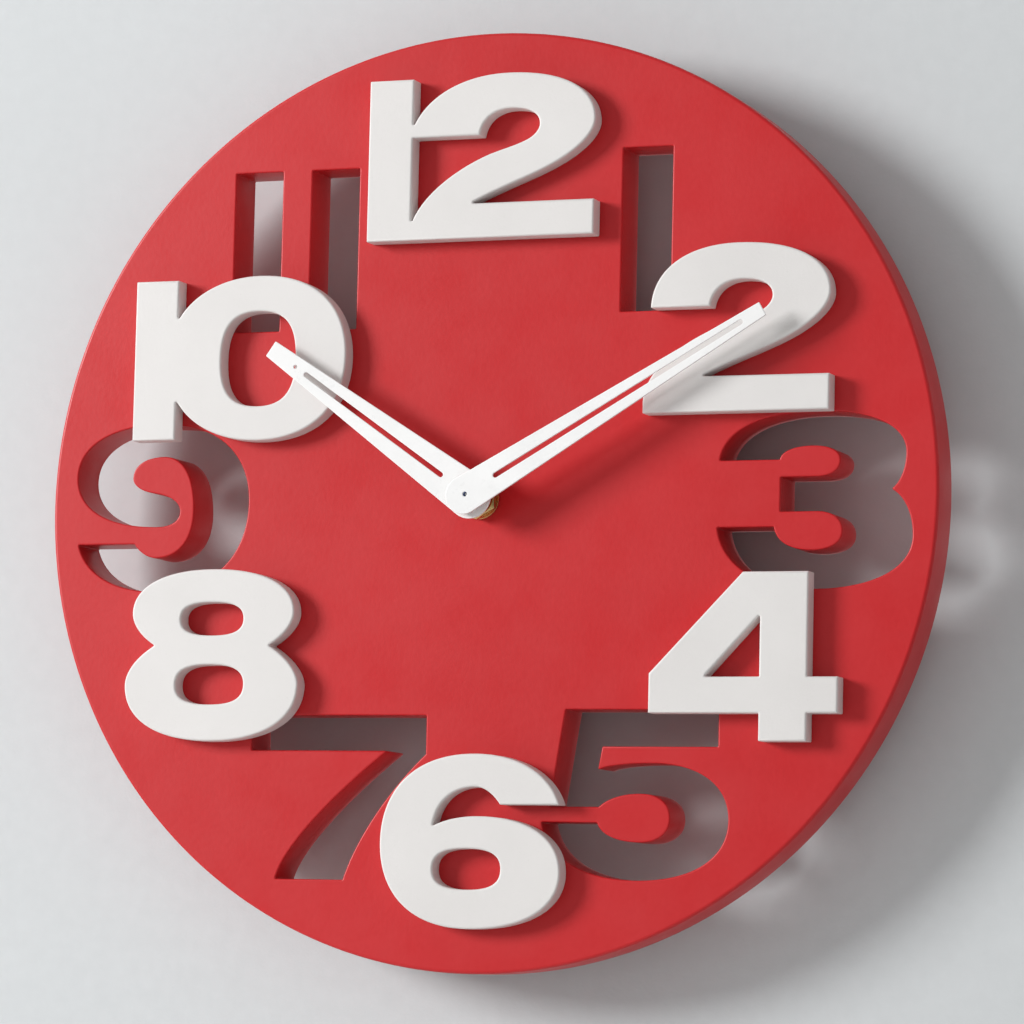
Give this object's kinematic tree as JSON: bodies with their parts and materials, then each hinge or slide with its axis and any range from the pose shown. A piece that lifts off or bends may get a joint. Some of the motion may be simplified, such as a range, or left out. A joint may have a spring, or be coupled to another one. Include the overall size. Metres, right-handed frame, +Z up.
{
  "type": "wall clock",
  "caption": "Round battery wall clock: a thick red board with hours cut through it and raised on it, two slotted hands and a quartz movement behind.",
  "frame": {"origin": "where the hands' axis meets the wall: the flat rear face of the movement's rear cover", "axes": "+Z up the clock towards 12, +X to the right as it is read, -Y out of the face towards the viewer"},
  "size_m": [0.35, 0.0475, 0.35],
  "materials": {
    "red_lacquer": "semi-gloss red lacquer on fibreboard",
    "numeral_white": "off-white paint on fibreboard",
    "hand_white": "white lacquer",
    "bright_brass": "bright turned brass",
    "black_rubber": "matt rubber",
    "hanger_steel": "zinc-plated steel",
    "case_black": "fine-grained moulding",
    "coil_copper": "enamelled copper wire",
    "motor_iron": "bare soft iron",
    "magnet_black": "sintered magnet",
    "wheel_plastic": "natural moulding",
    "pinion_plastic": "blue moulding",
    "board_green": "solder resist",
    "contact_nickel": "nickel-plated spring strip",
    "cell_wrap": "printed film on a steel can, left plain"
  },
  "bodies": {
    "clock": {"face_disc": "red_lacquer", "numeral_12": "numeral_white", "numeral_2": "numeral_white", "numeral_4": "numeral_white", "numeral_6": "numeral_white", "numeral_8": "numeral_white", "numeral_10": "numeral_white", "hex_nut": "bright_brass", "brass_washer": "bright_brass", "rubber_washer": "black_rubber", "threaded_bush": "bright_brass", "hanger_plate": "hanger_steel", "movement_front_case": "case_black", "movement_rear_cover": "case_black", "train_bridge": "case_black", "coil_bobbin": "case_black", "coil_winding": "coil_copper", "coil_core": "motor_iron", "stator": "motor_iron", "circuit_board": "board_green", "timing_chip": "case_black", "quartz_crystal": "hanger_steel", "battery": "cell_wrap", "positive_contact": "contact_nickel", "negative_contact": "contact_nickel"},
    "minute_side": {"minute_pipe": "pinion_plastic", "minute_hand_collet": "bright_brass", "minute_hand": "hand_white"},
    "hour_side": {"hour_wheel": "wheel_plastic", "hour_hand_collet": "bright_brass", "hour_hand": "hand_white"},
    "minute_wheel_body": {"minute_wheel": "wheel_plastic"},
    "knob_body": {"setting_knob": "pinion_plastic"},
    "fourth_body": {"fourth_wheel": "wheel_plastic"},
    "fifth_body": {"fifth_wheel": "wheel_plastic"},
    "rotor_body": {"rotor": "pinion_plastic", "rotor_magnet": "magnet_black"},
    "third_body": {"third_wheel": "wheel_plastic"},
    "centre_body": {"centre_wheel": "wheel_plastic"}
  },
  "joints": [
    {"name": "minute_hand_turn", "type": "hinge", "parent": "clock", "child": "minute_side", "pos_m": [0, -0.03, 0], "axis": [0, 1, 0], "continuous": true},
    {"name": "hour_hand_turn", "type": "hinge", "parent": "clock", "child": "hour_side", "pos_m": [0, -0.03, 0], "axis": [0, 1, 0], "continuous": true},
    {"name": "minute_wheel_turn", "type": "hinge", "parent": "clock", "child": "minute_wheel_body", "pos_m": [0.0096, -0.012, 0], "axis": [0, 1, 0], "continuous": true},
    {"name": "setting_knob_turn", "type": "hinge", "parent": "clock", "child": "knob_body", "pos_m": [0.01862, -0.008, -0.00328], "axis": [0, 1, 0], "continuous": true},
    {"name": "fourth_wheel_turn", "type": "hinge", "parent": "clock", "child": "fourth_body", "pos_m": [0, -0.007, 0], "axis": [0, 1, 0], "continuous": true},
    {"name": "fifth_wheel_turn", "type": "hinge", "parent": "clock", "child": "fifth_body", "pos_m": [0, -0.007, 0.01], "axis": [0, 1, 0], "continuous": true},
    {"name": "rotor_turn", "type": "hinge", "parent": "clock", "child": "rotor_body", "pos_m": [0.00589, -0.008, 0.01275], "axis": [0, 1, 0], "continuous": true},
    {"name": "third_wheel_turn", "type": "hinge", "parent": "clock", "child": "third_body", "pos_m": [-0.00866, -0.009, 0.005], "axis": [0, 1, 0], "continuous": true},
    {"name": "centre_wheel_turn", "type": "hinge", "parent": "clock", "child": "centre_body", "pos_m": [0, -0.0104, 0], "axis": [0, 1, 0], "continuous": true}
  ],
  "couplings": [
    {"joint": "hour_hand_turn", "follows": "minute_hand_turn", "ratio": 0.083333},
    {"joint": "minute_wheel_turn", "follows": "minute_hand_turn", "ratio": -0.33333},
    {"joint": "setting_knob_turn", "follows": "minute_hand_turn", "ratio": 1},
    {"joint": "fifth_wheel_turn", "follows": "fourth_wheel_turn", "ratio": -6},
    {"joint": "rotor_turn", "follows": "fourth_wheel_turn", "ratio": 30},
    {"joint": "third_wheel_turn", "follows": "fourth_wheel_turn", "ratio": -0.13333},
    {"joint": "centre_wheel_turn", "follows": "fourth_wheel_turn", "ratio": 0.016667}
  ]
}
